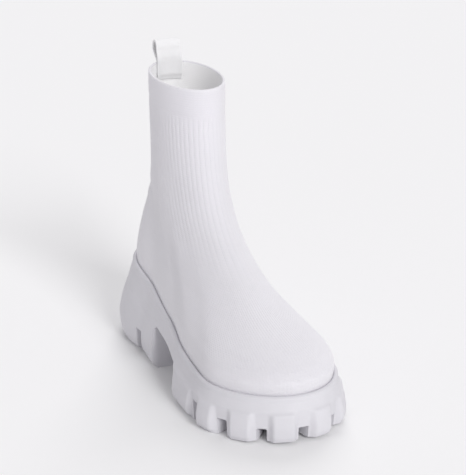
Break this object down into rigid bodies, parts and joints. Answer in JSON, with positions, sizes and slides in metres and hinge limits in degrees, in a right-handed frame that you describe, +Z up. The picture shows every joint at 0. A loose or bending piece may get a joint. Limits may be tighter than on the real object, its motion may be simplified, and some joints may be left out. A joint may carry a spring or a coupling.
{
  "type": "knit ankle boot",
  "caption": "White ribbed knit sock ankle boot for the right foot, set in a chunky moulded lug sole with a raised heel, arch cut-out and a webbing pull loop at the back of the collar.",
  "frame": {"origin": "on the floor, under the middle of the sole's length and width", "axes": "+X from heel to toe, +Y to the boot's inner side, +Z up"},
  "size_m": [0.2916, 0.1204, 0.249],
  "materials": {
    "moulded_foam": "matte moulded foam rubber, white",
    "knit": "fine ribbed knit, white",
    "footbed": "brushed textile footbed, off-white",
    "webbing": "woven webbing, white"
  },
  "bodies": {
    "root": {"sole": "moulded_foam", "upper": "knit", "insole": "footbed", "pull_loop": "webbing"}
  },
  "joints": []
}
